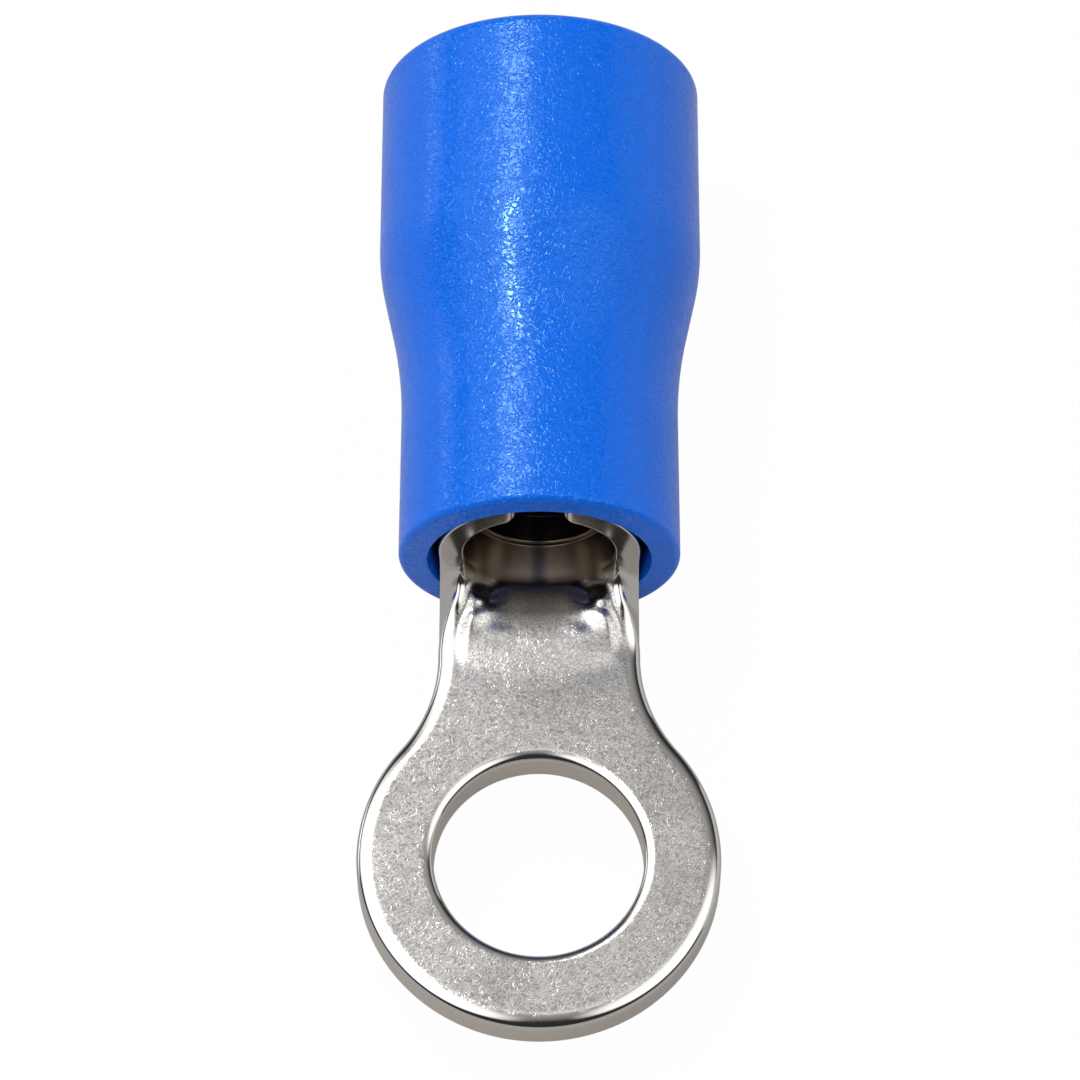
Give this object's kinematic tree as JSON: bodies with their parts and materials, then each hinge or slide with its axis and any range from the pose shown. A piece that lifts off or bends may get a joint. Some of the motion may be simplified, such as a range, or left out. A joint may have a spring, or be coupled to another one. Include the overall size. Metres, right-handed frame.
{
  "type": "insulated ring terminal",
  "caption": "Crimp cable lug: a flat ring tongue, a rolled crimp barrel with an open seam, and a flared insulating sleeve over the barrel.",
  "frame": {"origin": "centre of the stud hole, on the underside of the tongue", "axes": "+Z along the stud hole, up to the side that the barrel rises on; +Y along the barrel, to the wire entry"},
  "size_m": [0.0064, 0.018, 0.0058],
  "materials": {
    "tinned_copper": "bright tin plating over copper: satin flats with a fine worm-like grain, polished rolled edges",
    "blue_pvc": "smooth moulded PVC with a slight sheen and a faint leather grain"
  },
  "bodies": {
    "root": {"ring_terminal": "tinned_copper", "insulating_sleeve": "blue_pvc"}
  },
  "joints": []
}
